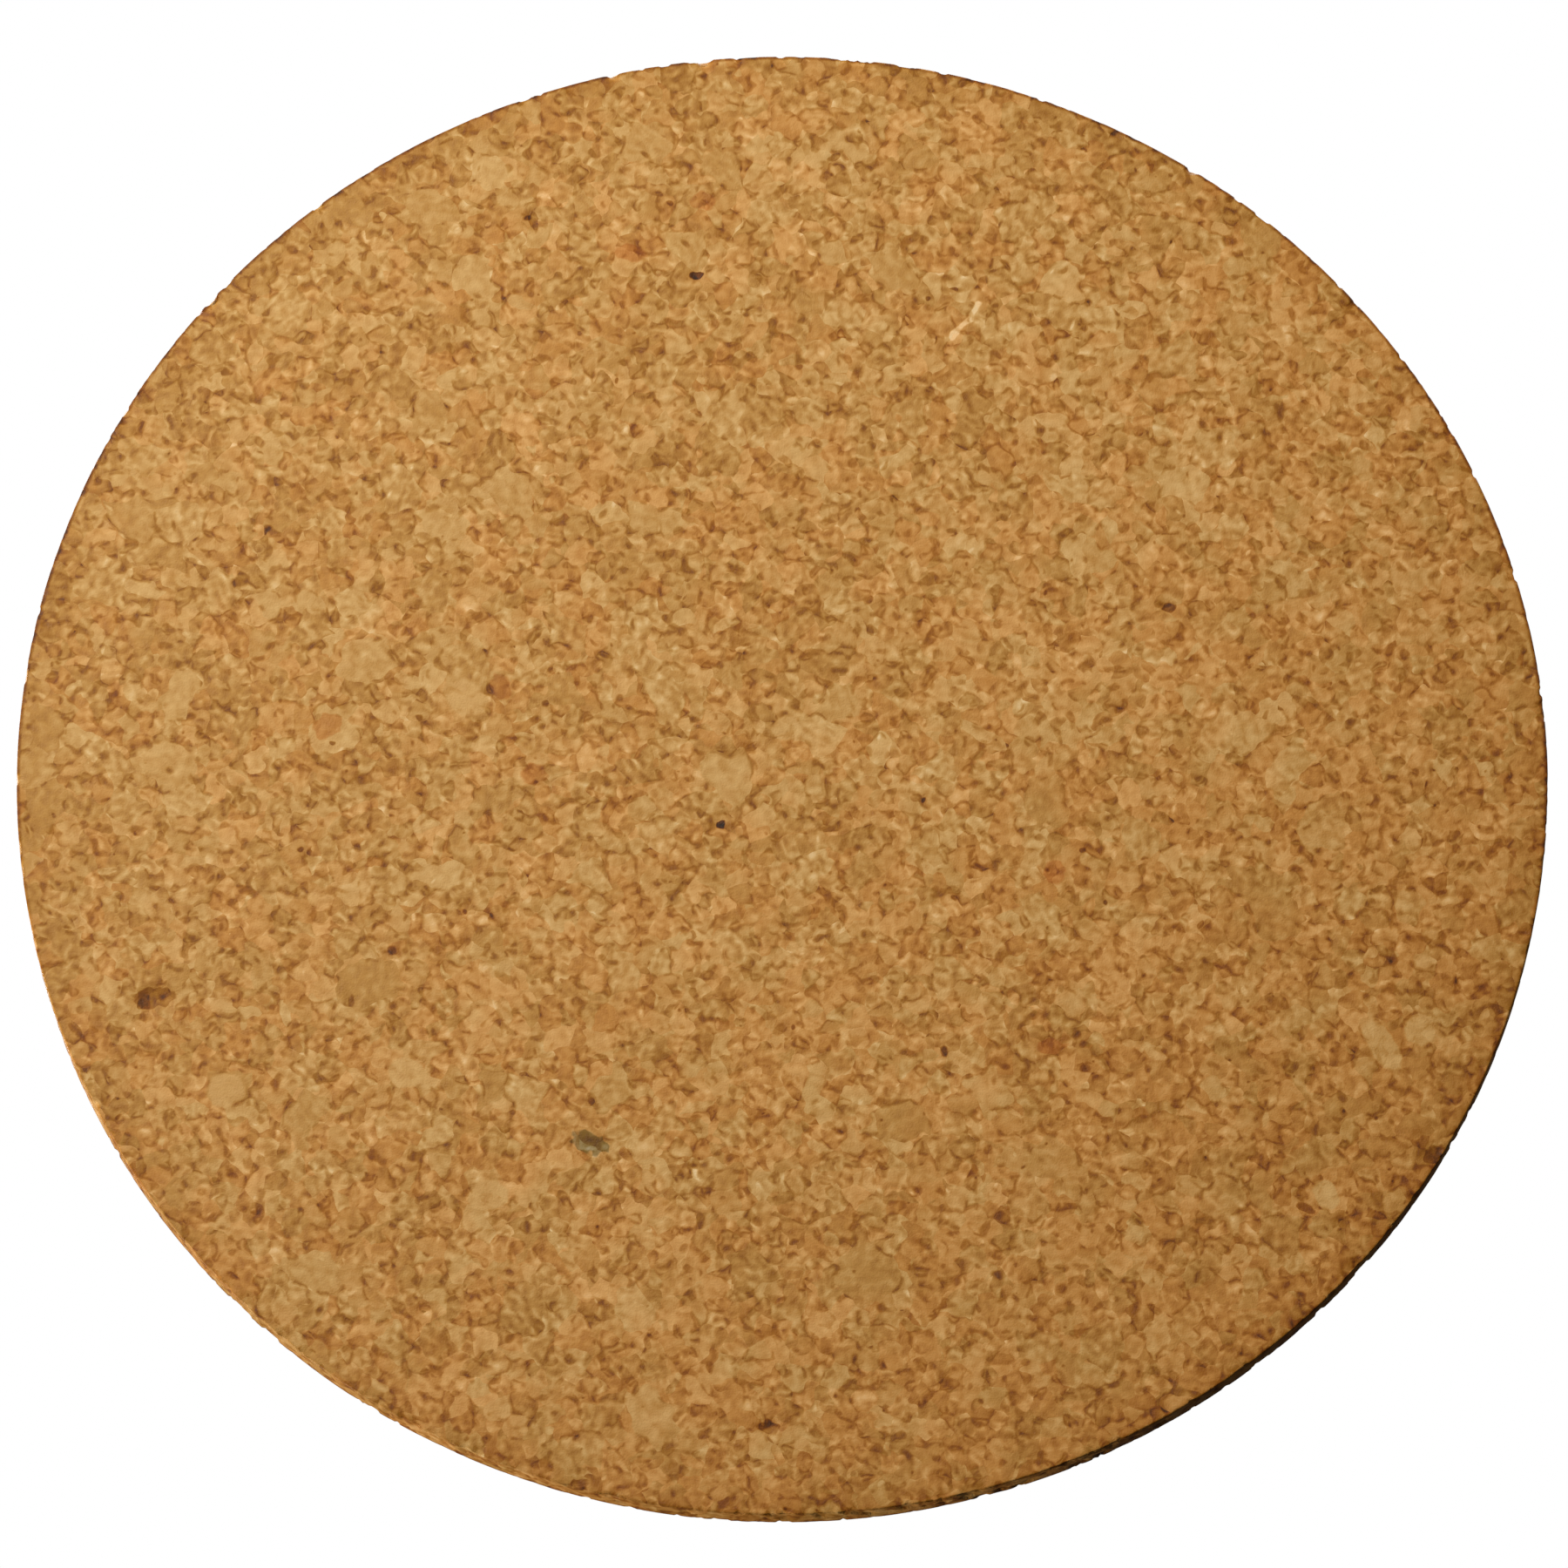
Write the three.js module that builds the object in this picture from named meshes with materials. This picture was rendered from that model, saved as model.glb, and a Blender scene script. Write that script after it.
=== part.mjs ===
// Round frameless cork bulletin board with peel-and-stick foam mounting pads.
//
// The board hangs upright on a wall. Units are millimetres, +Z is up, the wall is the plane y = 0
// and the pinning face looks along -Y, so every piece lies at y <= 0. The origin is the middle of
// the board on the wall plane. From the wall forwards the pieces are stacked release liner, foam
// pad, cork disc, with the thickness of one adhesive film left free between each two.

import * as THREE from 'three';

// Cork disc: one layer of agglomerated cork sheet, cut round, with lightly eased edges.
const BOARD_DIAMETER = 305;
const CORK_THICKNESS = 6.35;
const EDGE_EASE = 0.5;
const DISC_SEGMENTS = 180;

// Foam pads: one in the middle and the rest evenly spaced on a ring.
const PAD_SIDE = 25;
const PAD_THICKNESS = 1.6;
const PAD_CORNER_RADIUS = 1.5;
const RING_PAD_COUNT = 6;
const RING_RADIUS = 110;

// Release liners: the pad's outline, lengthened on one side into a tab to peel it by.
const LINER_THICKNESS = 0.12;
const LINER_TAB_LENGTH = 4;

const ADHESIVE_FILM = 0.05;
const CORNER_SEGMENTS = 5;

// Distances forwards from the wall to the back face of each layer.
const PAD_BACK = LINER_THICKNESS + ADHESIVE_FILM;
const CORK_BACK = PAD_BACK + PAD_THICKNESS + ADHESIVE_FILM;

const corkMaterial = new THREE.MeshStandardMaterial({ color: 0xb38247, roughness: 0.88, metalness: 0 });
const foamMaterial = new THREE.MeshStandardMaterial({ color: 0xe8e6df, roughness: 0.95, metalness: 0 });
const linerMaterial = new THREE.MeshStandardMaterial({ color: 0xe2cf9a, roughness: 0.45, metalness: 0 });

// A disc about the Y axis, from y = -thickness at the front to y = 0 at the back.
function discGeometry(radius, thickness, ease) {
  const profile = [
    new THREE.Vector2(0, -thickness),
    new THREE.Vector2(radius - ease, -thickness),
    new THREE.Vector2(radius, ease - thickness),
    new THREE.Vector2(radius, -ease),
    new THREE.Vector2(radius - ease, 0),
    new THREE.Vector2(0, 0),
  ];
  return new THREE.LatheGeometry(profile, DISC_SEGMENTS);
}

// A sheet upright in the XZ plane, with round corners, from y = -thickness to y = 0.
function sheetGeometry(left, right, bottom, top, radius, thickness) {
  const outline = new THREE.Shape();
  outline.moveTo(left + radius, bottom);
  outline.lineTo(right - radius, bottom);
  outline.absarc(right - radius, bottom + radius, radius, -Math.PI / 2, 0, false);
  outline.lineTo(right, top - radius);
  outline.absarc(right - radius, top - radius, radius, 0, Math.PI / 2, false);
  outline.lineTo(left + radius, top);
  outline.absarc(left + radius, top - radius, radius, Math.PI / 2, Math.PI, false);
  outline.lineTo(left, bottom + radius);
  outline.absarc(left + radius, bottom + radius, radius, Math.PI, Math.PI * 1.5, false);
  const sheet = new THREE.ExtrudeGeometry(outline, {
    depth: thickness,
    bevelEnabled: false,
    curveSegments: CORNER_SEGMENTS,
  });
  return sheet.rotateX(Math.PI / 2);
}

function namedMesh(name, geometry, material, backDistance) {
  const mesh = new THREE.Mesh(geometry, material);
  mesh.name = name;
  mesh.position.y = -backDistance;
  return mesh;
}

const HALF_PAD = PAD_SIDE / 2;

// One foam pad and the liner on its wall side. The liner's tab points up in the group's own frame.
function mountingPad(label) {
  const pad = new THREE.Group();
  const foam = sheetGeometry(-HALF_PAD, HALF_PAD, -HALF_PAD, HALF_PAD, PAD_CORNER_RADIUS, PAD_THICKNESS);
  const liner = sheetGeometry(
    -HALF_PAD, HALF_PAD, -HALF_PAD, HALF_PAD + LINER_TAB_LENGTH, PAD_CORNER_RADIUS, LINER_THICKNESS,
  );
  pad.add(namedMesh(`foam_pad_${label}`, foam, foamMaterial, PAD_BACK));
  pad.add(namedMesh(`release_liner_${label}`, liner, linerMaterial, 0));
  return pad;
}

const board = new THREE.Group();
board.add(namedMesh('cork_disc', discGeometry(BOARD_DIAMETER / 2, CORK_THICKNESS, EDGE_EASE),
  corkMaterial, CORK_BACK));
board.add(mountingPad('centre'));

// Ring pads are numbered from the top towards +X. Each one is turned so that its tab points
// outwards, at the rim, where fingers reach it.
for (let index = 0; index < RING_PAD_COUNT; index += 1) {
  const angle = (index / RING_PAD_COUNT) * Math.PI * 2;
  const pad = mountingPad(String(index + 1));
  pad.position.set(RING_RADIUS * Math.sin(angle), 0, RING_RADIUS * Math.cos(angle));
  pad.rotation.y = angle;
  board.add(pad);
}

export default board;
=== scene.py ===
"""Looks for the round frameless cork bulletin board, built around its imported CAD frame.

The board hangs upright: +Z is up, the pinning face looks along -Y and the wall plane is y = 0.
Lengths are in metres, except in the patterns, which work in millimetres, and in names that end in
_MM. The script makes the camera, the cork disc, the foam pads and their release liners, then the
floor, the backdrop and the lights.
"""

import math
import random
from collections import namedtuple

import bpy
import numpy as np
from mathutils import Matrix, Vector
from mathutils.geometry import delaunay_2d_cdt


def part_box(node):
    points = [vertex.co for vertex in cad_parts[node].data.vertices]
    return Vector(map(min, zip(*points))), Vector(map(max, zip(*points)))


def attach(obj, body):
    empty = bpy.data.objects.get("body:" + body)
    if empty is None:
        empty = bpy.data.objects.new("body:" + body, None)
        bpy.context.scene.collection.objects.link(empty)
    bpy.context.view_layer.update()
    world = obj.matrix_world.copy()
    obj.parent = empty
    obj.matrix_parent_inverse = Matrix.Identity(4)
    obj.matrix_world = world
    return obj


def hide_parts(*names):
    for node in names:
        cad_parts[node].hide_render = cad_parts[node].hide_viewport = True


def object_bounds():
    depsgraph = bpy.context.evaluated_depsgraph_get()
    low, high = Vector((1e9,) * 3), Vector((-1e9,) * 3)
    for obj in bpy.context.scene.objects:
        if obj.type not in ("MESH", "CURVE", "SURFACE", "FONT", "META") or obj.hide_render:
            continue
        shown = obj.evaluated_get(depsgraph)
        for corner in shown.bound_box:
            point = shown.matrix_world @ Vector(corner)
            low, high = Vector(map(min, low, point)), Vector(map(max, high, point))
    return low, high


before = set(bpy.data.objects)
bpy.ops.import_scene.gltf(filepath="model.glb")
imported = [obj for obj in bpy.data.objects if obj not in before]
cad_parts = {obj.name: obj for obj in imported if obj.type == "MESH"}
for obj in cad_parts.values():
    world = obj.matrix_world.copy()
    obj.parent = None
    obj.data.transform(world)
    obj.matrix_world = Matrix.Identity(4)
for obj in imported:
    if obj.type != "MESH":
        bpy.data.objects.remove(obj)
cad_low, cad_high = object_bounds()

MM = 0.001
PAD_LABELS = [n.removeprefix("foam_pad_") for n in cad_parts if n.startswith("foam_pad_")]


# ---------------------------------------------------------------------------------------------
# Node graphs
# ---------------------------------------------------------------------------------------------

class Graph:
    """Adds nodes to a shader or geometry node tree. A value is a number, a vector or an output."""

    def __init__(self, tree):
        self.tree = tree

    def add(self, kind, inputs=None, **settings):
        node = self.tree.nodes.new(kind)
        for name, value in settings.items():
            setattr(node, name, value)
        for key, value in (inputs or {}).items():
            self.plug(node.inputs[key], value)
        return node

    def plug(self, socket, value):
        if isinstance(value, bpy.types.NodeSocket):
            self.tree.links.new(value, socket)
        else:
            socket.default_value = value

    def math(self, operation, a, b=0.0, c=0.0, clamp=False):
        node = self.add("ShaderNodeMath", {0: a, 1: b, 2: c}, operation=operation, use_clamp=clamp)
        return node.outputs[0]

    def vector(self, operation, a, b=(0.0, 0.0, 0.0), scale=None):
        node = self.add("ShaderNodeVectorMath", {0: a, 1: b}, operation=operation)
        if scale is not None:
            self.plug(node.inputs["Scale"], scale)
        return node.outputs["Value" if operation in ("LENGTH", "DOT_PRODUCT", "DISTANCE") else "Vector"]

    def split(self, vector):
        return list(self.add("ShaderNodeSeparateXYZ", {0: vector}).outputs)

    def join(self, x, y):
        return self.add("ShaderNodeCombineXYZ", {0: x, 1: y}).outputs[0]

    def step(self, value, low, high, start=0.0, end=1.0):
        """A smooth step from start, at low and under, to end, at high and over."""
        inputs = {"Value": value, "From Min": low, "From Max": high, "To Min": start, "To Max": end}
        return self.add("ShaderNodeMapRange", inputs, interpolation_type="SMOOTHSTEP").outputs[0]

    # The mix node has its own sockets for each kind of value, so they are picked by number.

    def mix(self, factor, a, b):
        return self.add("ShaderNodeMix", {0: factor, 2: a, 3: b}, data_type="FLOAT").outputs[0]

    def mix_vector(self, factor, a, b):
        return self.add("ShaderNodeMix", {0: factor, 4: a, 5: b}, data_type="VECTOR").outputs[1]

    def mix_colour(self, factor, a, b, blend="MIX"):
        node = self.add("ShaderNodeMix", {0: factor, 6: a, 7: b}, data_type="RGBA", blend_type=blend)
        return node.outputs[2]

    def tinted(self, colour, tint):
        return self.mix_colour(1.0, colour, (*tint, 1.0), "MULTIPLY")

    def ramp(self, value, stops):
        """A colour from (position, linear colour) stops."""
        node = self.add("ShaderNodeValToRGB", {0: value})
        elements = node.color_ramp.elements
        while len(elements) < len(stops):
            elements.new(1.0)
        for element, (position, colour) in zip(elements, stops):
            element.position = position
            element.color = (*colour, 1.0)
        return node.outputs[0]

    def noise(self, point, size, detail=2.0, roughness=0.5):
        """Noise about 0 whose lumps are about size across. Returns a value and a vector."""
        inputs = {"Vector": point, "Scale": 1.0 / size, "Detail": detail, "Roughness": roughness}
        node = self.add("ShaderNodeTexNoise", inputs)
        value = self.math("SUBTRACT", node.outputs[0], 0.5)
        return value, self.vector("SUBTRACT", node.outputs[1], (0.5, 0.5, 0.5))

    def jitter(self, point, size, reach, detail=0.0):
        """A random shift that varies smoothly over about size and goes up to half a reach."""
        return self.vector("SCALE", self.noise(point, size, detail)[1], scale=reach)

    def voronoi(self, point, size, feature="F1"):
        return self.add("ShaderNodeTexVoronoi", {"Vector": point, "Scale": 1.0 / size}, feature=feature)


def linear(red, green, blue):
    """A linear colour from 8-bit display values."""
    return tuple((v / 255 / 12.92) if v <= 10 else ((v / 255 + 0.055) / 1.055) ** 2.4
                 for v in (red, green, blue))


# ---------------------------------------------------------------------------------------------
# Cork: one solid pattern of granules, used for the relief of the mesh and for its material
# ---------------------------------------------------------------------------------------------

# The disc's radius and the y of its two faces, in millimetres.
DiscSize = namedtuple("DiscSize", "radius front back")

# Granule sizes, and the share of each size's cells that hold a granule of that size.
GRAIN_SIZES_MM = [(7.4, 0.14), (3.9, 1.0)]
# The pattern starts this many cells across. Another number gives another arrangement of granules.
GRAIN_START_CELLS = 7.0
# Granules run from rough to smooth as their second random number runs from one of these to the other.
SMOOTH_RANGE = (0.50, 0.85)

# Borders wander and marks fray by these random shifts: (size mm, reach mm).
WANDER = (4.0, 3.0)
FRAY = (2.0, 1.1)

# Dark seams show along part of the borders: their width, the size of the parts, and the levels of a
# noise about 0 between which they come in.
SEAM_MM = 0.75
SEAM_PART_MM = 2.6
SEAM_PART_RANGE = (0.02, 0.14)

# Growth streaks and dashes are thin one way and 1 / 0.42 times as long the other two ways.
GROWTH_SHAPE = (1.0, 0.42, 0.42)
STREAK_MM = 1.15
MOTTLE_MM = 1.6
CLOUD_MM = 9.0

# Scattered dots: (spacing mm, share of the places that hold one, radius mm).
DASHES = (2.5, 0.32, 0.55)
# The pale dots are partly pale bits of cork and partly painted highlights on flake edges.
PALE_FLECKS_AND_GLINTS = (2.3, 0.34, 0.46)
SPECKS = (4.6, 0.60, 0.68)
FLECK_AND_GLINT_OFFSET = (13.0, 5.0, 9.0)
# Shares of that radius: how far the smallest dots reach, how much further the largest do, and the
# width of the soft edge.
DOT_SMALLEST, DOT_SPREAD, DOT_EDGE = 0.5, 0.8, 0.6

# The dark lines along the arrises, partly the crumbly edge's own colour and partly painted shade, fade
# out between two distances from the arris, in millimetres.
# The back one is narrower across the face than along the side.
ARRIS_FRONT_FADE = (0.25, 1.0)
ARRIS_BACK_FADE = (0.35, 1.5)
ARRIS_BACK_SQUEEZE = 2.2
# The front one fades below, so its painted shade lies mostly along the top. As the height runs between
# two shares of the radius, so does its strength.
ARRIS_HEIGHTS, ARRIS_STRENGTHS = (-0.4, 0.1), (0.1, 1.0)
# Both are crumbly. As the mottle runs between two levels, so does their strength.
CRUMBLE_LEVELS, CRUMBLE_STRENGTHS = (-0.20, 0.06), (0.3, 1.0)
# A band from this share of the radius out to the rim is darker.
RIM_BAND_FROM = 0.93
# Painted shade: the board is darker towards the lower right, where the key light falls off, from this
# share of the way from the middle to the rim.
PAINTED_SHADE_FROM = 0.2

# The cork's colour goes with one tone number, in 8-bit display steps from its middle colour.
DARKEST_TONE, PALEST_TONE = -150, 60
CORK_TONES = [
    (-150, linear(34, 22, 10)),
    (-90, linear(82, 42, 4)),
    (-60, linear(123, 67, 4)),
    (-30, linear(154, 98, 24)),
    (0, linear(183, 130, 61)),
    (30, linear(208, 162, 99)),
    (60, linear(231, 194, 142)),
]

# What the granule's own brightness, the mottle and the streaks add to the tone.
GRANULE_STEPS = 25.0
MOTTLE_STEPS = 78.0
STREAK_STEPS = 54.0
# The share of the mottle and streaks that rough and smooth granules show.
ROUGH_SHARE, SMOOTH_SHARE = 1.10, 0.56
# What each mark adds to the tone where it is at its strongest.
MARK_STEPS = {
    "smooth": 7.0,
    "cloud": 13.0,
    "seam": -34.0,
    "dash": -40.0,
    # pale dots: partly pale bits of cork, partly painted highlights on flake edges
    "pale_fleck_and_glint": 30.0,
    "speck": -52.0,
    "rust": -15.0,
    "green": -40.0,
    "bark": -46.0,
    "soot": -100.0,
    # painted shade inside the pinholes
    "pinhole_shade": -58.0,
    "curl": 50.0,
    # dark crumbly arrises: partly their own colour, partly painted shade
    "arris_crumbs_and_shade": -62.0,
    "rim_band": -12.0,
    # painted shade towards the lower right
    "painted_shade": -9.0,
}
TONE_OFFSET = -9.0
# The pale granules are drawn part of the way to one even tone, and share one warmth.
PALE_TONE, PALE_SHARE, PALE_WARMTH = 38.0, 0.6, 0.15

# Warmth runs from 0, cool, to 1, warm. It is the sum of the granule's own, of patches on the board
# and of a painted rise towards the lower right: cooler, as under a painted sheen, at the upper left,
# and warmer, as painted shade, at the lower right.
GRANULE_WARMTH = 1.06
PATCH_MM = 9.0
PATCH_WARMTH = 2.2
PAINTED_LIGHT_WARMTH = 0.33
WARMTH_OFFSET = -0.03

# Colour factors.
COOL = (0.985, 1.012, 0.985)
WARM = (1.045, 0.945, 0.82)
RUSSET = (0.97, 0.81, 0.68)
SLATE = (0.72, 1.02, 1.95)

# Single granules that stand out: (across mm, up mm, long mm, wide mm, turn degrees).
BARK_GRANULES = [
    (-124.7, -46.9, 10.0, 4.4, 8.0),
    (103.2, -90.1, 3.8, 2.2, -35.0),
    (128.6, -79.1, 5.4, 3.4, 40.0),
    (-50.2, 117.0, 1.8, 5.4, 12.0),
    (10.5, 130.6, 3.0, 1.8, 20.0),
    (-2.5, -134.6, 4.4, 3.0, -25.0),
    (77.2, 34.6, 2.8, 2.4, 0.0),
]
SOOT_GRANULES = [
    (-17.2, 105.2, 3.6, 1.8, 5.0),
    (-12.1, -10.7, 2.4, 2.0, 0.0),
]
GREEN_GRANULES = [
    (-38.0, -76.8, 8.6, 4.4, -18.0),
]
RUST_GRANULES = [
    (-30.8, 110.1, 7.0, 4.0, -10.0),
    (-16.0, 121.3, 5.6, 4.6, 0.0),
    (54.2, -20.9, 4.6, 5.6, 0.0),
    (53.1, -56.9, 6.8, 3.4, 0.0),
    (-90.7, 9.8, 6.6, 5.4, 25.0),
    (-56.2, 17.8, 4.8, 6.2, 20.0),
    (-49.3, -0.4, 5.6, 5.0, 0.0),
]
PALE_GRANULES = [
    (118.8, -56.8, 12.5, 6.0, -58.0),
    (126.2, -53.4, 6.4, 7.4, 0.0),
    (107.2, -87.4, 5.2, 7.4, 30.0),
    (-110.0, -65.9, 8.5, 7.4, 15.0),
    (-74.4, -62.3, 8.0, 7.0, -20.0),
    (-63.2, 15.6, 10.5, 7.8, -30.0),
    (-58.0, -87.6, 9.0, 6.8, 10.0),
    (1.0, 9.3, 6.2, 5.8, 0.0),
]
# How much the mottle breaks up their outlines, and the soft share of their way from rim to middle.
RAGGED, RUST_RAGGED = 1.1, 0.6
BLOB_EDGE = 0.22
# How far they reach into the board.
BLOB_DEEP_MM = 2.857

# Pinholes: (across mm, up mm, width mm). They are painted dark as painted shade, since the mesh has no
# pinholes cut into it.
PINHOLES = [
    (-51.2, 117.6, 2.0), (-22.7, 120.8, 1.6), (-33.1, 82.7, 1.4), (29.3, 100.4, 1.5),
    (52.8, 37.8, 1.4), (28.1, -5.7, 1.4), (59.6, -16.2, 1.7),
    (34.1, -26.2, 1.6), (64.2, -27.1, 1.5), (32.1, -57.9, 2.1), (2.2, -52.7, 1.4),
    (-72.4, 11.6, 1.6), (-89.6, 6.3, 1.5), (-47.4, 14.4, 1.7), (-95.8, -16.0, 1.3),
    (-63.1, -28.9, 1.4), (-77.4, -36.9, 2.4),
]

# A pale curled shaving: (across mm, up mm) along its middle.
CURL = [(34.2, 92.0), (36.0, 94.4), (38.0, 95.8), (39.4, 99.0)]
CURL_WIDTH_MM = 1.3
CURL_FADE = (0.3 * CURL_WIDTH_MM, 0.6 * CURL_WIDTH_MM)


def granules(g, point):
    """Cork granules of several sizes. A large one hides the smaller ones inside it. Returns each
    granule's random triple and the distance to its border, in millimetres."""
    chosen = border = None
    for size, share in reversed(GRAIN_SIZES_MM):
        shifted = g.vector("ADD", point, (GRAIN_START_CELLS * size, 0.0, 0.0))
        triple = g.voronoi(shifted, size).outputs["Color"]
        own_border = g.voronoi(shifted, size, "DISTANCE_TO_EDGE").outputs["Distance"]
        own_border = g.math("MULTIPLY", own_border, size)
        if chosen is None:
            chosen, border = triple, own_border
        else:
            present = g.math("LESS_THAN", g.split(triple)[2], share)
            chosen = g.mix_vector(present, chosen, triple)
            border = g.mix(present, g.math("MINIMUM", border, own_border), own_border)
    return chosen, border


def scattered(g, point, spacing, share, radius):
    """Soft dots of varied size, about a radius, one or none to each cell of a spacing."""
    node = g.voronoi(point, spacing)
    chance, size, _ = g.split(node.outputs["Color"])
    present = g.math("LESS_THAN", chance, share)
    reach = g.math("MULTIPLY_ADD", size, DOT_SPREAD * radius, DOT_SMALLEST * radius)
    distance = g.math("MULTIPLY", node.outputs["Distance"], spacing)
    inside = g.math("DIVIDE", g.math("SUBTRACT", reach, distance), DOT_EDGE * radius, clamp=True)
    return g.math("MULTIPLY", inside, present)


def blobs(g, point, front, rows, ragged):
    """1 inside any of a list of ellipsoids at the front face, 0 outside them all. ragged is added
    to how deep a point lies inside, and so breaks up the outline."""
    most = None
    for across, up, long, wide, turn in rows:
        offset = g.vector("SUBTRACT", point, (across, front, up))
        inputs = {"Vector": offset, "Axis": (0.0, -1.0, 0.0), "Angle": -math.radians(turn)}
        turned = g.add("ShaderNodeVectorRotate", inputs).outputs[0]
        shrunk = g.vector("MULTIPLY", turned, (2.0 / long, 1.0 / BLOB_DEEP_MM, 2.0 / wide))
        inside = g.math("SUBTRACT", 1.0, g.vector("LENGTH", shrunk))
        most = inside if most is None else g.math("MAXIMUM", most, inside)
    return g.step(g.math("ADD", most, ragged), 0.0, BLOB_EDGE)


def pinholes(g, point, front):
    """1 inside any pinhole, 0 outside them all. It paints the shade inside the pinholes, which the
    mesh doesn't cut.
    """
    most = None
    for across, up, width in PINHOLES:
        away = g.vector("DISTANCE", point, (across, front, up))
        inside = g.math("MULTIPLY_ADD", away, -2.0 / width, 1.0)
        most = inside if most is None else g.math("MAXIMUM", most, inside)
    return g.step(most, 0.0, 0.5)


def curl_mask(g, point, front):
    """1 along the curled shaving's bent middle line, 0 a little over half its width away."""
    nearest = None
    for start, end in zip(CURL, CURL[1:]):
        a = Vector((start[0], front, start[1]))
        along = Vector((end[0], front, end[1])) - a
        offset = g.vector("SUBTRACT", point, a)
        share = g.math("DIVIDE", g.vector("DOT_PRODUCT", offset, along), along.length_squared, clamp=True)
        foot = g.vector("SCALE", tuple(along), scale=share)
        distance = g.vector("DISTANCE", offset, foot)
        nearest = distance if nearest is None else g.math("MINIMUM", nearest, distance)
    return g.step(nearest, *CURL_FADE, 1.0, 0.0)


def grain_marks(g, point, frayed, triple, border):
    """The marks that every granule has. Growth streaks run a different way in each granule, and
    dark dashes and pale dots, partly pale bits of cork and partly painted highlights, lie along them."""
    spin = g.vector("SCALE", triple, scale=2.0 * math.pi)
    turn = g.add("ShaderNodeVectorRotate", {"Vector": frayed, "Rotation": spin},
                 rotation_type="EULER_XYZ")
    grown = g.vector("MULTIPLY", turn.outputs[0], GROWTH_SHAPE)
    seam_here = g.step(g.noise(point, SEAM_PART_MM, 0.0)[0], *SEAM_PART_RANGE)
    return {
        "smooth": g.step(g.split(triple)[1], *SMOOTH_RANGE),
        "cloud": g.noise(point, CLOUD_MM, 2.0, 0.6)[0],
        "streak": g.noise(grown, STREAK_MM, 0.0)[0],
        "dash": scattered(g, grown, *DASHES),
        "pale_fleck_and_glint": scattered(g, g.vector("ADD", grown, FLECK_AND_GLINT_OFFSET), *PALE_FLECKS_AND_GLINTS),
        "speck": scattered(g, frayed, *SPECKS),
        "seam": g.math("MULTIPLY", g.step(border, 0.1 * SEAM_MM, SEAM_MM, 1.0, 0.0), seam_here),
    }


def placed_marks(g, frayed, mottle, front):
    """The marks that have a place of their own on the front face."""
    ragged = g.math("MULTIPLY", mottle, RAGGED)
    rust_ragged = g.math("MULTIPLY", mottle, RUST_RAGGED)
    return {
        "pale": blobs(g, frayed, front, PALE_GRANULES, 0.0),
        "rust": blobs(g, frayed, front, RUST_GRANULES, rust_ragged),
        "green": blobs(g, frayed, front, GREEN_GRANULES, ragged),
        "bark": blobs(g, frayed, front, BARK_GRANULES, ragged),
        "soot": blobs(g, frayed, front, SOOT_GRANULES, ragged),
        "pinhole_shade": pinholes(g, frayed, front),
        "curl": curl_mask(g, frayed, front),
    }


def rim_marks(g, point, mottle, size):
    """The marks that go by the distance to the rim, and low_right, which is 1 at the rim's lower
    right and -1 at its upper left."""
    radial = g.vector("LENGTH", g.vector("MULTIPLY", point, (1.0, 0.0, 1.0)))
    _, y, z = g.split(point)
    in_from_rim = g.math("SUBTRACT", size.radius, radial)
    off_front = g.join(in_from_rim, g.math("SUBTRACT", y, size.front))
    off_back = g.join(g.math("MULTIPLY", in_from_rim, ARRIS_BACK_SQUEEZE), g.math("SUBTRACT", size.back, y))

    # A dark, crumbly line along both arrises: partly the cut edge's own colour and partly painted shade
    # in its crumbs.
    front_arris = g.step(g.vector("LENGTH", off_front), *ARRIS_FRONT_FADE, 1.0, 0.0)
    height = g.math("DIVIDE", z, size.radius)
    above = g.step(height, *ARRIS_HEIGHTS, *ARRIS_STRENGTHS)
    back_arris = g.step(g.vector("LENGTH", off_back), *ARRIS_BACK_FADE, 1.0, 0.0)
    arris_crumbs_and_shade = g.math("MAXIMUM", g.math("MULTIPLY", front_arris, above), back_arris)

    # low_right places the painted shade and the painted warmth towards the lower right.
    towards = math.sqrt(0.5) / size.radius
    low_right = g.vector("DOT_PRODUCT", point, (towards, 0.0, -towards))
    return {
        "radial": radial,
        # dark crumbly arrises: partly their own colour, partly painted shade
        "arris_crumbs_and_shade": g.math("MULTIPLY", arris_crumbs_and_shade, g.step(mottle, *CRUMBLE_LEVELS, *CRUMBLE_STRENGTHS)),
        "rim_band": g.step(radial, RIM_BAND_FROM * size.radius, size.radius),
        "low_right": low_right,
        # painted shade towards the lower right, where the key light falls off
        "painted_shade": g.step(low_right, PAINTED_SHADE_FROM, 1.0),
    }


def cork_tone(g, marks, own, mottle):
    """The tone, from the granule's own brightness, its mottle and streaks, and all the marks."""
    rough = g.math("MULTIPLY_ADD", mottle, MOTTLE_STEPS, g.math("MULTIPLY", marks["streak"], STREAK_STEPS))
    rough = g.math("MULTIPLY", rough, g.mix(marks["smooth"], ROUGH_SHARE, SMOOTH_SHARE))
    tone = g.math("MULTIPLY_ADD", own, GRANULE_STEPS, rough)
    for mark, steps in MARK_STEPS.items():
        tone = g.math("MULTIPLY_ADD", marks[mark], steps, tone)
    tone = g.mix(g.math("MULTIPLY", marks["pale"], PALE_SHARE), tone, PALE_TONE)
    return g.math("ADD", tone, TONE_OFFSET)


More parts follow.
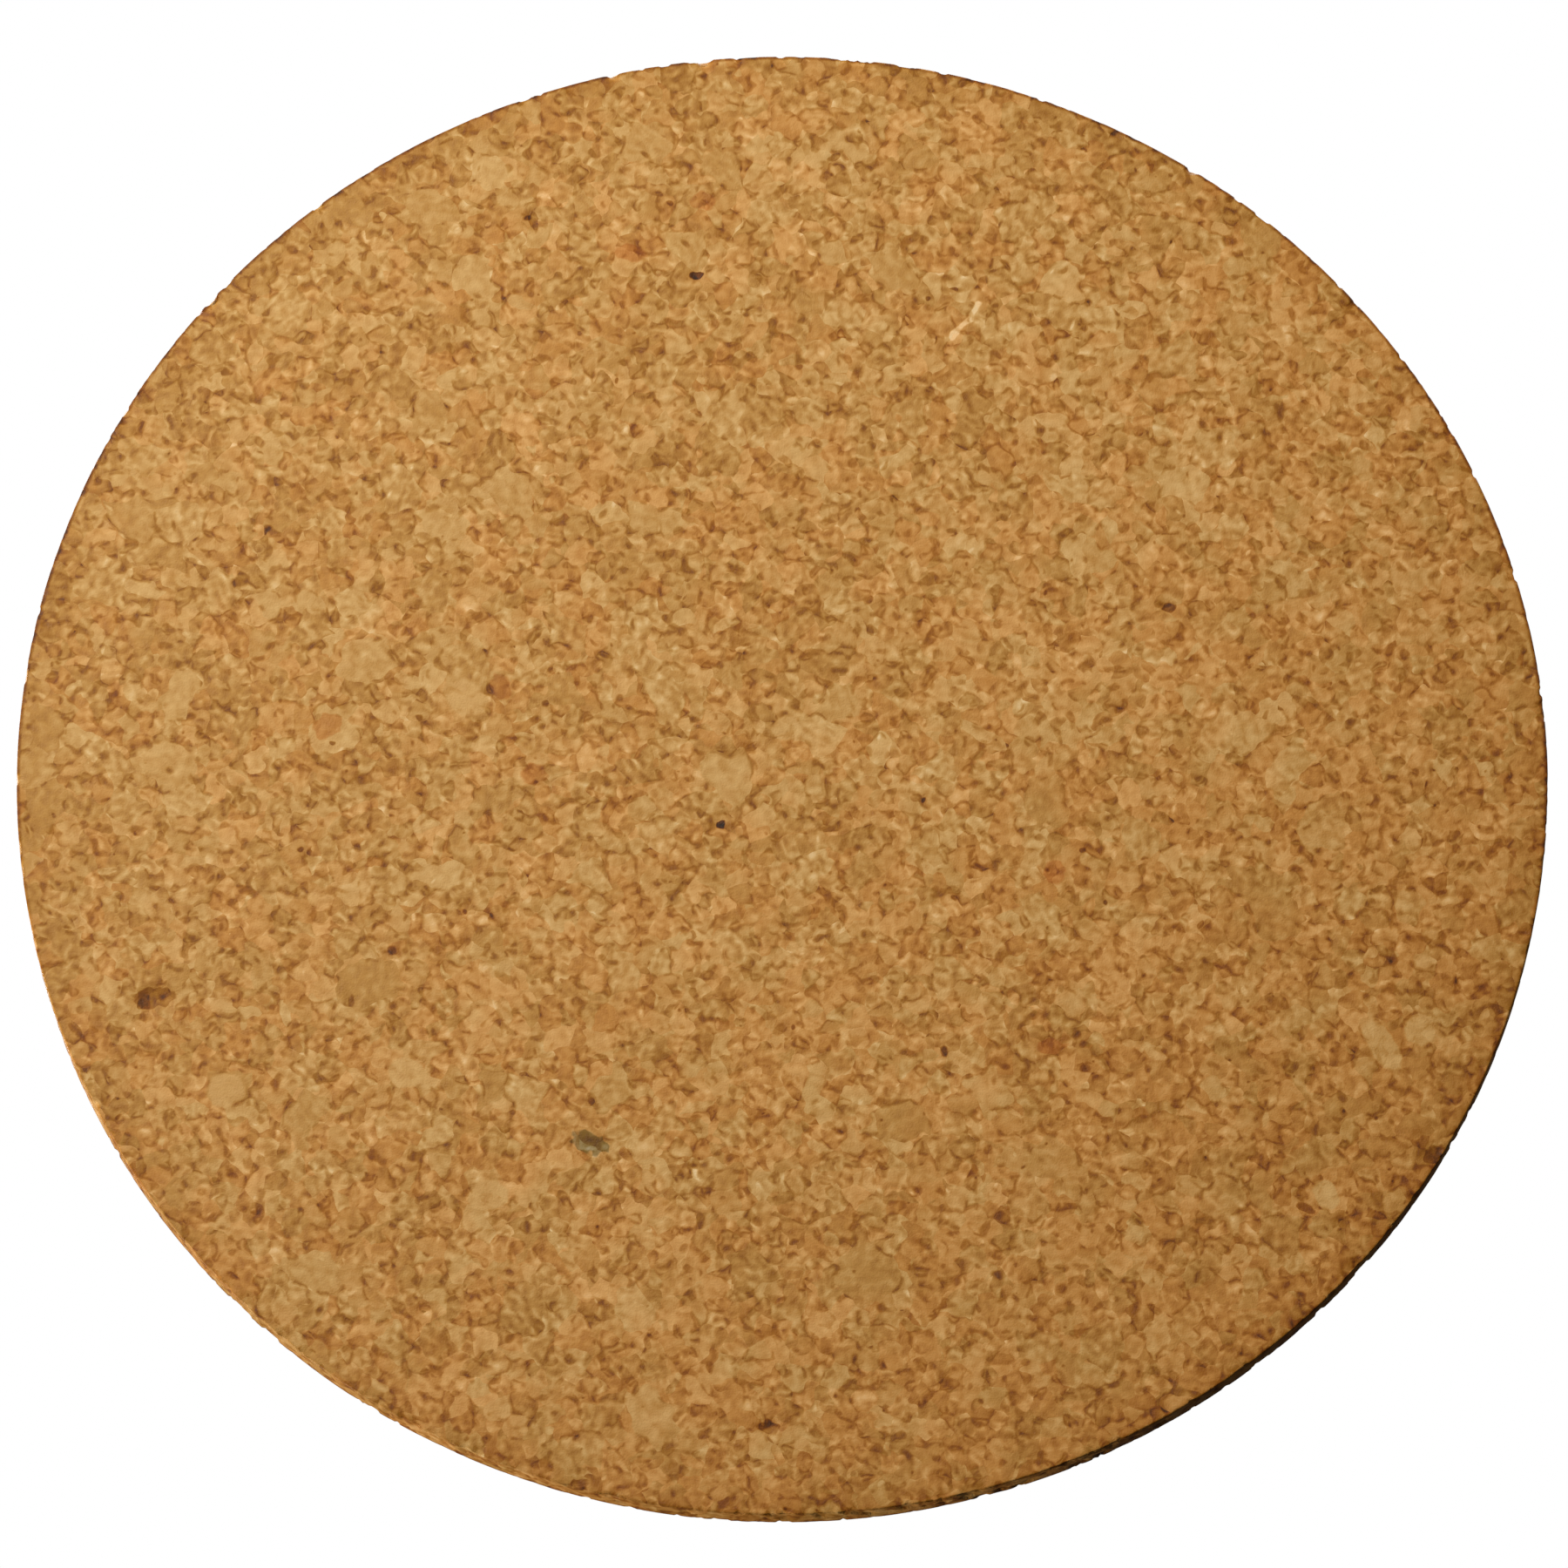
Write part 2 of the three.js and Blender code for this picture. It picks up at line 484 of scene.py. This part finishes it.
def cork_warmth(g, marks, own, point):
    patches = g.noise(point, PATCH_MM, 1.0)[0]
    drift = g.math("MULTIPLY_ADD", patches, PATCH_WARMTH, WARMTH_OFFSET)
    # painted light: cooler as a painted sheen at the upper left, warmer as painted shade at the lower right
    drift = g.math("MULTIPLY_ADD", marks["low_right"], PAINTED_LIGHT_WARMTH, drift)
    warmth = g.math("MULTIPLY_ADD", own, GRANULE_WARMTH, drift, clamp=True)
    return g.mix(marks["pale"], warmth, PALE_WARMTH)


def cork_pattern(g, point, size):
    """The cork at a point in millimetres. Returns a dict of its tone, its warmth and its masks."""
    frayed = g.vector("ADD", point, g.jitter(point, *FRAY))
    warped = g.vector("ADD", frayed, g.jitter(point, *WANDER))
    triple, border = granules(g, warped)
    brightness, _, warmth = g.split(triple)
    mottle = g.noise(frayed, MOTTLE_MM, 0.6)[0]
    marks = {
        **grain_marks(g, point, frayed, triple, border),
        **placed_marks(g, frayed, mottle, size.front),
        **rim_marks(g, point, mottle, size),
    }
    pit = g.math("MAXIMUM", g.math("MAXIMUM", marks["speck"], marks["dash"]),
                 g.math("MAXIMUM", marks["bark"], marks["soot"]))
    return {
        "tone": cork_tone(g, marks, brightness, mottle),
        "warmth": cork_warmth(g, marks, warmth, point),
        "green": marks["green"],
        "rust": marks["rust"],
        "pit": pit,
        "seam": marks["seam"],
        "mottle": mottle,
        "granule": brightness,
        "radial": marks["radial"],
    }


# ---------------------------------------------------------------------------------------------
# Materials
# ---------------------------------------------------------------------------------------------

def new_material(name, **constants):
    """A material and its graph, Principled shader and object-space position in millimetres."""
    material = bpy.data.materials.new(name)
    material.use_nodes = True
    g = Graph(material.node_tree)
    shader = material.node_tree.nodes["Principled BSDF"]
    for socket, value in constants.items():
        shader.inputs[socket.replace("_", " ")].default_value = value
    position = g.add("ShaderNodeTexCoord").outputs["Object"]
    return material, g, shader, g.vector("SCALE", position, scale=1.0 / MM)


def bump(g, shader, height_mm):
    """Bumps the shader by a height in millimetres."""
    height = g.math("MULTIPLY", height_mm, MM)
    node = g.add("ShaderNodeBump", {"Height": height, "Strength": 1.0, "Distance": 1.0})
    g.plug(shader.inputs["Normal"], node.outputs[0])


FINE_GRAIN_MM = 0.45
FINE_GRAIN_BUMP_MM = 0.10


def cork_material(size):
    material, g, shader, point = new_material("cork", Specular_IOR_Level=0.2)
    pattern = cork_pattern(g, point, size)
    span = PALEST_TONE - DARKEST_TONE
    along = g.math("MULTIPLY_ADD", pattern["tone"], 1.0 / span, -DARKEST_TONE / span)
    colour = g.ramp(along, [((tone - DARKEST_TONE) / span, tint) for tone, tint in CORK_TONES])
    colour = g.mix_colour(pattern["warmth"], g.tinted(colour, COOL), g.tinted(colour, WARM))
    colour = g.mix_colour(pattern["rust"], colour, g.tinted(colour, RUSSET))
    colour = g.mix_colour(pattern["green"], colour, g.tinted(colour, SLATE))
    g.plug(shader.inputs["Base Color"], colour)
    g.plug(shader.inputs["Roughness"], g.math("MULTIPLY_ADD", pattern["mottle"], 0.3, 0.62))
    fine_grain = g.noise(point, FINE_GRAIN_MM, 2.0, 0.6)[0]
    bump(g, shader, g.math("MULTIPLY", fine_grain, FINE_GRAIN_BUMP_MM))
    return material


FOAM_CELL_MM = 0.28
FOAM_CELL_BUMP_MM = 0.09
FOAM_CLOUD_MM = 3.0
FOAM_SCATTER = 0.6 * MM


def foam_material():
    """Closed-cell foam: off-white, with open cut cells of a few tenths of a millimetre."""
    material, g, shader, point = new_material("foam", Specular_IOR_Level=0.3, Subsurface_Weight=0.08)
    shader.inputs["Subsurface Scale"].default_value = FOAM_SCATTER
    cell = g.voronoi(point, FOAM_CELL_MM)
    wall = g.step(cell.outputs["Distance"], 0.15, 0.62)
    cloud = g.noise(point, FOAM_CLOUD_MM)[0]
    tone = g.math("MULTIPLY_ADD", cloud, 0.5, g.math("MULTIPLY_ADD", wall, 0.55, 0.22))
    colour = g.ramp(tone, [
        (0.0, linear(186, 182, 170)),
        (0.5, linear(221, 218, 208)),
        (1.0, linear(240, 238, 230)),
    ])
    g.plug(shader.inputs["Base Color"], colour)
    g.plug(shader.inputs["Roughness"], g.math("MULTIPLY_ADD", wall, 0.12, 0.80))
    bump(g, shader, g.math("MULTIPLY", wall, FOAM_CELL_BUMP_MM))
    return material


DIMPLE_MM = 1.4
DIMPLE_BUMP_MM = 0.12
BUBBLE_BUMP_MM = 0.05
# As for the cork's dots: (spacing mm, share of the places that hold one, radius mm).
BUBBLES = (2.6, 0.5, 0.35)


def adhesive_material():
    """A clear tacky film over the foam: it shines, with small dimples and stuck air bubbles."""
    material, g, shader, point = new_material("adhesive", Coat_Weight=0.6, Coat_Roughness=0.12)
    dimple = g.noise(point, DIMPLE_MM)[0]
    bubble = scattered(g, point, *BUBBLES)
    tone = g.math("MULTIPLY_ADD", bubble, -0.35, g.math("MULTIPLY_ADD", dimple, 0.8, 0.55))
    colour = g.ramp(tone, [
        (0.0, linear(190, 184, 162)),
        (0.5, linear(222, 217, 200)),
        (1.0, linear(238, 235, 222)),
    ])
    g.plug(shader.inputs["Base Color"], colour)
    g.plug(shader.inputs["Roughness"], g.math("MULTIPLY_ADD", dimple, 0.4, 0.34))
    dimple_height = g.math("MULTIPLY", dimple, DIMPLE_BUMP_MM)
    bump(g, shader, g.math("MULTIPLY_ADD", bubble, BUBBLE_BUMP_MM, dimple_height))
    return material


FIBRE_MM = 0.5
FIBRE_BUMP_MM = 0.03
# Fibres are longer one way.
FIBRE_SHAPE = (1.0, 1.0, 0.3)
COCKLE_MM = 4.0
COCKLE_BUMP_MM = 0.06


def liner_material():
    """Silicone-coated buff release paper: fine paper fibre under a soft sheen, slightly cockled."""
    material, g, shader, point = new_material("liner", Coat_Weight=0.25, Coat_Roughness=0.30)
    fibre = g.noise(g.vector("MULTIPLY", point, FIBRE_SHAPE), FIBRE_MM, 3.0, 0.65)[0]
    cockle = g.noise(point, COCKLE_MM)[0]
    tone = g.math("MULTIPLY_ADD", fibre, 0.5, g.math("MULTIPLY_ADD", cockle, 0.5, 0.5))
    colour = g.ramp(tone, [
        (0.0, linear(196, 172, 112)),
        (0.5, linear(222, 202, 146)),
        (1.0, linear(238, 224, 178)),
    ])
    g.plug(shader.inputs["Base Color"], colour)
    g.plug(shader.inputs["Roughness"], g.math("MULTIPLY_ADD", cockle, 0.3, 0.45))
    fibre_height = g.math("MULTIPLY", fibre, FIBRE_BUMP_MM)
    bump(g, shader, g.math("MULTIPLY_ADD", cockle, COCKLE_BUMP_MM, fibre_height))
    return material


FLOOR_SPECKLE_MM = 50.0
FLOOR_GLOW = 0.85


def floor_material():
    """A pale floor that is evenly lit far from the studio lights too."""
    material, g, shader, point = new_material("floor", Specular_IOR_Level=0.1, Roughness=0.8)
    speckle = g.noise(point, FLOOR_SPECKLE_MM, 3.0)[0]
    tone = g.math("MULTIPLY_ADD", speckle, 0.3, 0.5)
    colour = g.ramp(tone, [(0.0, (0.74, 0.73, 0.71)), (1.0, (0.82, 0.81, 0.79))])
    g.plug(shader.inputs["Base Color"], colour)
    g.plug(shader.inputs["Emission Color"], colour)
    shader.inputs["Emission Strength"].default_value = FLOOR_GLOW
    material.cycles.emission_sampling = "NONE"
    return material


# ---------------------------------------------------------------------------------------------
# Meshes: each piece is a slab with a closed outline in the XZ plane and a profile over its depth
# ---------------------------------------------------------------------------------------------

# points and normals are (n, 2) arrays, and inside gives how deep 2D points lie inside the outline.
Outline = namedtuple("Outline", "points normals inside")


def circle_outline(radius, count):
    turn = np.linspace(0.0, 2.0 * math.pi, count, endpoint=False)
    normals = np.stack([np.cos(turn), np.sin(turn)], axis=1)
    return Outline(normals * radius, normals, lambda p: radius - np.linalg.norm(p, axis=1))


def sheet_outline(half_width, bottom, top, corner, step):
    """A rounded rectangle, anticlockwise, with points about step apart."""
    centre = np.array([0.0, (bottom + top) / 2])
    half = np.array([half_width, (top - bottom) / 2]) - corner
    arc_steps = max(3, round(corner * math.pi / 2 / step))
    arcs = []
    for start, way in ((-90, (1, -1)), (0, (1, 1)), (90, (-1, 1)), (180, (-1, -1))):
        angles = np.radians(start + 90 * np.arange(arc_steps + 1) / arc_steps)
        facing = np.stack([np.cos(angles), np.sin(angles)], axis=1)
        arcs.append((centre + half * way + corner * facing, facing))
    points, normals = [], []
    for (arc, facing), (next_arc, _) in zip(arcs, arcs[1:] + arcs[:1]):
        side = next_arc[0] - arc[-1]
        side_steps = max(1, round(np.linalg.norm(side) / step))
        points.extend(arc)
        normals.extend(facing)
        for k in range(1, side_steps):
            points.append(arc[-1] + side * k / side_steps)
            normals.append(facing[-1])

    def inside(p):
        past = np.abs(p - centre) - half
        outer = np.linalg.norm(np.maximum(past, 0.0), axis=1)
        return corner - outer - np.minimum(past.max(axis=1), 0.0)

    return Outline(np.array(points), np.array(normals), inside)


def face_points(outline, inset, spacing, rings):
    """Points that fill an outline moved in by inset: the edge itself, rings behind it that get
    coarser, then a triangular lattice. rings is a list of (gap, keep every nth point)."""
    parts = [outline.points - outline.normals * inset]
    reach = inset
    for gap, keep_every in rings:
        reach += gap
        parts.append((outline.points - outline.normals * reach)[::keep_every])
    low, high = outline.points.min(axis=0), outline.points.max(axis=0)
    row_gap = spacing * math.sqrt(3) / 2
    rows = np.arange(math.floor(low[1] / row_gap), math.ceil(high[1] / row_gap) + 1)
    columns = np.arange(math.floor(low[0] / spacing) - 1, math.ceil(high[0] / spacing) + 1)
    column, row = np.meshgrid(columns, rows)
    lattice = np.stack([(column + 0.5 * (row % 2)).ravel() * spacing, row.ravel() * row_gap], axis=1)
    parts.append(lattice[outline.inside(lattice) > reach + 0.6 * spacing])
    return np.concatenate(parts)


def face_triangles(points):
    """The Delaunay triangles of 2D points, as indexes of the points."""
    _, _, faces, sources, _, _ = delaunay_2d_cdt([Vector(p) for p in points], [], [], 0, 1e-9)
    return [[sources[corner][0] for corner in face] for face in faces]


def slab_mesh(name, outline, profile, front, back, face_material=0, side_material=0):
    """A closed mesh. profile is (inset, y) from the front edge to the back edge. front and back are
    the (spacing, rings) of that face's points. The materials are slot numbers."""
    vertices, triangles, materials = [], [], []
    edge_count = len(outline.points)

    def add_points(points, y):
        """Adds points at a depth and gives the indexes of the first ones, which run round the edge."""
        start = len(vertices)
        vertices.extend((x, y, z) for x, z in points)
        return range(start, start + edge_count)

    def add_face(row, spacing, rings, flip):
        inset, y = row
        points = face_points(outline, inset, spacing, rings)
        edge = add_points(points, y)
        for corners in face_triangles(points):
            triangle = [edge.start + corner for corner in corners]
            triangles.append(triangle[::-1] if flip else triangle)
            materials.append(face_material)
        return edge

    first = add_face(profile[0], *front, flip=False)
    last = add_face(profile[-1], *back, flip=True)
    between = [add_points(outline.points - outline.normals * inset, y) for inset, y in profile[1:-1]]
    edges = [first, *between, last]
    for near, far in zip(edges, edges[1:]):
        for k in range(edge_count):
            after = (k + 1) % edge_count
            triangles.append([near[k], far[k], far[after]])
            triangles.append([near[k], far[after], near[after]])
            materials.extend([side_material] * 2)

    mesh = bpy.data.meshes.new(name)
    mesh.from_pydata(vertices, [], triangles)
    mesh.polygons.foreach_set("material_index", materials)
    mesh.polygons.foreach_set("use_smooth", [True] * len(triangles))
    mesh.update()
    piece = bpy.data.objects.new(name, mesh)
    bpy.context.scene.collection.objects.link(piece)
    return piece


def edge_profile(front_y, back_y, radius, arc_steps, side_steps):
    """(inset, y) rows down a square-cut edge with both corners rounded to a radius."""
    angles = [math.pi / 2 * k / arc_steps for k in range(arc_steps + 1)]
    rounding = [(radius * (1 - math.sin(angle)), radius * (1 - math.cos(angle))) for angle in angles]
    start, end = front_y + radius, back_y - radius
    rows = [(inset, front_y + drop) for inset, drop in rounding]
    rows += [(0.0, start + (end - start) * k / side_steps) for k in range(1, side_steps)]
    rows += [(inset, back_y - drop) for inset, drop in reversed(rounding)]
    return rows


# ---------------------------------------------------------------------------------------------
# The disc
# ---------------------------------------------------------------------------------------------

DISC_EDGE_COUNT = 1440
DISC_EDGE_RADIUS = 0.45 * MM
DISC_ARC_STEPS = 3
DISC_SIDE_STEPS = 7
# The points of each face: (lattice spacing, rings behind the edge).
DISC_FRONT = (1.25 * MM, [(0.7 * MM, 1), (0.9 * MM, 2)])
DISC_BACK = (2.6 * MM, [(0.9 * MM, 2), (1.8 * MM, 3)])

# How far the skin sinks: by up to these depths at a granule's random level, at a pit and at a seam.
RELIEF_MM = {"granule": 0.06, "pit": 0.30, "seam": 0.08}

# Some granules are torn out of the rim.
TORN_GRANULE_MM = 2.4
TORN_SHARE = 0.16
TORN_DEPTH_MM = 0.32
TORN_BAND_MM = (2.2, 0.4)
# Their outlines wander by this random shift: (size mm, reach mm, detail).
TORN_WANDER = (1.2, 1.5, 2.0)

# Rim chips: (clock angle in degrees from +X towards +Z, width mm, depth mm).
RIM_CHIPS = [(139.0, 2.6, 1.1), (128.0, 2.0, 0.9), (103.0, 2.2, 0.8), (96.0, 2.8, 1.3), (57.0, 2.2, 0.9)]
# A chip is at its full depth within the first share of its width, and gone at the second.
CHIP_FADE = (0.15, 0.75)


def relief_depth(g, point, size):
    """How far the cork's skin sinks at a point, in millimetres."""
    pattern = cork_pattern(g, point, size)
    band_start, band_end = (size.radius - inset for inset in TORN_BAND_MM)
    rim = g.step(pattern["radial"], band_start, band_end)
    torn = g.voronoi(g.vector("ADD", point, g.jitter(point, *TORN_WANDER)), TORN_GRANULE_MM)
    torn_out = g.math("LESS_THAN", g.split(torn.outputs["Color"])[0], TORN_SHARE)
    depth = g.math("MULTIPLY", g.math("MULTIPLY", torn_out, rim), TORN_DEPTH_MM)
    for part, deep in RELIEF_MM.items():
        depth = g.math("MULTIPLY_ADD", pattern[part], deep, depth)
    for angle, width, deep in RIM_CHIPS:
        turn = math.radians(angle)
        middle = (size.radius * math.cos(turn), size.front, size.radius * math.sin(turn))
        away = g.math("DIVIDE", g.vector("DISTANCE", point, middle), width)
        depth = g.math("MAXIMUM", depth, g.step(away, *CHIP_FADE, deep, 0.0))
    return depth


def carve(disc, size):
    """Moves the disc's skin inwards by the relief, through geometry nodes that are then applied."""
    tree = bpy.data.node_groups.new("cork_relief", "GeometryNodeTree")
    for way in ("INPUT", "OUTPUT"):
        tree.interface.new_socket(name="Geometry", in_out=way, socket_type="NodeSocketGeometry")
    g = Graph(tree)
    entry = g.add("NodeGroupInput")
    position = g.add("GeometryNodeInputPosition").outputs[0]
    normal = g.add("GeometryNodeInputNormal").outputs[0]
    depth = relief_depth(g, g.vector("SCALE", position, scale=1.0 / MM), size)
    offset = g.vector("SCALE", normal, scale=g.math("MULTIPLY", depth, -MM))
    moved = g.add("GeometryNodeSetPosition", {"Geometry": entry.outputs[0], "Offset": offset})
    g.plug(g.add("NodeGroupOutput").inputs[0], moved.outputs[0])

    modifier = disc.modifiers.new("relief", "NODES")
    modifier.node_group = tree
    evaluated = disc.evaluated_get(bpy.context.evaluated_depsgraph_get())
    mesh = bpy.data.meshes.new_from_object(evaluated)
    disc.modifiers.remove(modifier)
    disc.data = mesh
    mesh.name = disc.name


def make_disc():
    low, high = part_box("cork_disc")
    radius = (high.x - low.x) / 2
    size = DiscSize(radius / MM, low.y / MM, high.y / MM)
    outline = circle_outline(radius, DISC_EDGE_COUNT)
    profile = edge_profile(low.y, high.y, DISC_EDGE_RADIUS, DISC_ARC_STEPS, DISC_SIDE_STEPS)
    disc = slab_mesh("cork_board", outline, profile, DISC_FRONT, DISC_BACK)
    carve(disc, size)
    disc.data.materials.append(cork_material(size))
    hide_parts("cork_disc")
    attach(disc, "board")


# ---------------------------------------------------------------------------------------------
# The foam pads and their liners
# ---------------------------------------------------------------------------------------------

CORNER_RADIUS = 1.5 * MM
# A pad this near the board's middle is the centre one, whose tab points up.
MIDDLE_REACH = 0.1 * MM

PAD_EDGE_RADIUS = 0.22 * MM
PAD_ARC_STEPS = 2
PAD_SIDE_STEPS = 5
PAD_EDGE_STEP = 0.6 * MM
PAD_FACE = (1.2 * MM, [(0.5 * MM, 2)])
# The cut sides pull in half way down, more in some places than in others. The waves are counted in
# radians over half a pad, across and up.
PAD_PULL = 0.16 * MM
PAD_RIPPLE = 0.06 * MM
PAD_WAVES_ACROSS, PAD_WAVES_UP = 7.0, 6.0
# Points this near the outline are on the cut sides.
PAD_SIDE_REACH = 0.1 * MM

LINER_TAB = 4.0 * MM
LINER_EDGE_STEP = 0.7 * MM
LINER_FACE = (0.9 * MM, [])
# The tab curls off the pad from a little inside the pad's edge, by a random lift and lean.
TAB_LIFT_RANGE_MM = (0.6, 1.3)
TAB_LEAN_RANGE = (-0.6, 0.6)
TAB_CURL_START = 0.6 * MM
TAB_CURL_POWER = 1.7
TAB_WAVE = 0.05 * MM
TAB_WAVES_ACROSS = 4.0
TAB_WAVE_SHIFT = 5.0
PAPER_SHARP_DEGREES = 50.0


def pad_place(label):
    """The middle of a pad and the way its tab points, as an angle from +Z towards +X."""
    low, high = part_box(f"foam_pad_{label}")
    middle = (low + high) / 2
    in_the_middle = math.hypot(middle.x, middle.z) < MIDDLE_REACH
    angle = 0.0 if in_the_middle else math.atan2(middle.x, middle.z)
    return middle, angle


def move_to_pad(piece, middle, angle):
    """Turns a piece about Y and moves it to its pad, in its mesh, so that patterns don't repeat."""
    for vertex in piece.data.vertices:
        x, y, z = vertex.co
        across = x * math.cos(angle) + z * math.sin(angle)
        up = z * math.cos(angle) - x * math.sin(angle)
        vertex.co = (middle.x + across, y, middle.z + up)
    piece.data.update()


def make_pad(label, half, foam, adhesive):
    """A foam square: its cut sides wander and pull in a little, and its edges are rounded."""
    low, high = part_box(f"foam_pad_{label}")
    rng = random.Random(f"pad {label}")
    outline = sheet_outline(half, -half, half, CORNER_RADIUS, PAD_EDGE_STEP)
    profile = edge_profile(low.y, high.y, PAD_EDGE_RADIUS, PAD_ARC_STEPS, PAD_SIDE_STEPS)
    pad = slab_mesh(f"foam_square_{label}", outline, profile, PAD_FACE, PAD_FACE, face_material=1)
    mid_y, half_y = (low.y + high.y) / 2, (high.y - low.y) / 2
    phase = rng.uniform(0.0, 6.28)
    for vertex in pad.data.vertices:
        x, y, z = vertex.co
        if outline.inside(np.array([[x, z]]))[0] < PAD_SIDE_REACH:
            waist = 1 - ((y - mid_y) / half_y) ** 2
            wave_across = math.sin(x / half * PAD_WAVES_ACROSS + phase)
            ripple = wave_across * math.cos(z / half * PAD_WAVES_UP - phase)
            pull = waist * (PAD_PULL + PAD_RIPPLE * ripple)
            vertex.co = (x * (1 - pull / half), y, z * (1 - pull / half))
    move_to_pad(pad, *pad_place(label))
    pad.data.materials.append(foam)
    pad.data.materials.append(adhesive)
    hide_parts(f"foam_pad_{label}")
    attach(pad, "board")


def make_liner(label, half, paper):
    """A thin paper square whose tab curls off the pad, more at one corner than at the other."""
    low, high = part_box(f"release_liner_{label}")
    rng = random.Random(f"liner {label}")
    outline = sheet_outline(half, -half, half + LINER_TAB, CORNER_RADIUS, LINER_EDGE_STEP)
    profile = [(0.0, low.y), (0.0, high.y)]
    liner = slab_mesh(f"liner_{label}", outline, profile, LINER_FACE, LINER_FACE)
    lift = rng.uniform(*TAB_LIFT_RANGE_MM) * MM
    lean = rng.uniform(*TAB_LEAN_RANGE)
    for vertex in liner.data.vertices:
        x, y, z = vertex.co
        past = max(0.0, (z - half + TAB_CURL_START) / (LINER_TAB + TAB_CURL_START))
        curl = lift * past ** TAB_CURL_POWER * (1 + lean * x / half)
        wave = TAB_WAVE * math.sin(x / half * TAB_WAVES_ACROSS + lean * TAB_WAVE_SHIFT) * past
        vertex.co = (x, y + curl + wave, z)
    liner.data.set_sharp_from_angle(angle=math.radians(PAPER_SHARP_DEGREES))
    move_to_pad(liner, *pad_place(label))
    liner.data.materials.append(paper)
    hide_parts(f"release_liner_{label}")
    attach(liner, f"liner_{label}")


def make_mounting():
    low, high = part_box("foam_pad_centre")
    half = (high.x - low.x) / 2
    foam, adhesive, paper = foam_material(), adhesive_material(), liner_material()
    for label in PAD_LABELS:
        make_pad(label, half, foam, adhesive)
        make_liner(label, half, paper)


# ---------------------------------------------------------------------------------------------
# Camera, floor and light
# ---------------------------------------------------------------------------------------------

CAMERA_RISE_DEGREES = -17.67
CAMERA_DISTANCE = 2.6025
# Where the camera aims, right of and above the middle of the face as the camera sees it.
CAMERA_AIM_RIGHT = 0.35 * MM
CAMERA_AIM_UP = -2.3 * MM
CAMERA_LENS_MM = 300.0
CAMERA_SENSOR_MM = 36.0

FLOOR_DROP = 1.25
FLOOR_SIZE = 40.0

AMBIENT = 0.055

# Square soft boxes that face the board: (name, direction from the board, distance, width, watts).
LIGHTS = [
    ("key", (-0.47, -0.94, 0.50), 1.36, 0.35, 20.3),
    ("side_fill", (-0.83, 0.20, -0.56), 1.4, 0.3, 20.0),
    ("edge", (0.10, 0.50, 0.86), 1.5, 0.5, 8.0),
    ("right_rim", (0.75, 0.15, 1.15), 1.4, 0.6, 10.0),
    ("back", (-0.50, 0.90, 0.45), 1.3, 0.6, 12.0),
]


def make_camera():
    """Looks up at the face from below, through a long lens."""
    rise = math.radians(CAMERA_RISE_DEGREES)
    back = Vector((0.0, -math.cos(rise), math.sin(rise)))
    right = Vector((1.0, 0.0, 0.0))
    up = back.cross(right)
    low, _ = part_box("cork_disc")
    aim = Vector((0.0, low.y, 0.0)) + right * CAMERA_AIM_RIGHT + up * CAMERA_AIM_UP
    data = bpy.data.cameras.new("camera")
    data.lens = CAMERA_LENS_MM
    data.sensor_width = CAMERA_SENSOR_MM
    camera = bpy.data.objects.new("camera", data)
    camera.location = aim + back * CAMERA_DISTANCE
    camera.rotation_euler = (-back).to_track_quat("-Z", "Y").to_euler()
    bpy.context.scene.collection.objects.link(camera)
    bpy.context.scene.camera = camera


def make_floor():
    half, z = FLOOR_SIZE / 2, cad_low.z - FLOOR_DROP
    corners = [(-half, -half, z), (half, -half, z), (half, half, z), (-half, half, z)]
    mesh = bpy.data.meshes.new("floor")
    mesh.from_pydata(corners, [], [(0, 1, 2, 3)])
    mesh.materials.append(floor_material())
    floor = bpy.data.objects.new("floor", mesh)
    # The floor is seen, but throws no light up at the board's edge.
    floor.visible_diffuse = False
    floor.visible_glossy = False
    bpy.context.scene.collection.objects.link(floor)


def make_world():
    """White to look at, and a weak even light on the board."""
    world = bpy.data.worlds.new("studio")
    world.use_nodes = True
    g = Graph(world.node_tree)
    sky = world.node_tree.nodes["Background"]
    seen = g.add("ShaderNodeLightPath").outputs["Is Camera Ray"]
    sky.inputs["Color"].default_value = (1.0, 1.0, 1.0, 1.0)
    g.plug(sky.inputs["Strength"], g.mix(seen, AMBIENT, 1.0))
    bpy.context.scene.world = world


def make_light(name, direction, distance, width, watts):
    data = bpy.data.lights.new(name, "AREA")
    data.size = width
    data.energy = watts
    light = bpy.data.objects.new(name, data)
    location = Vector(direction).normalized() * distance
    light.location = location
    light.rotation_euler = (-location).to_track_quat("-Z", "Y").to_euler()
    bpy.context.scene.collection.objects.link(light)


make_camera()
make_disc()
make_mounting()
make_floor()
make_world()
for light_row in LIGHTS:
    make_light(*light_row)
bpy.context.scene.view_settings.view_transform = "Standard"
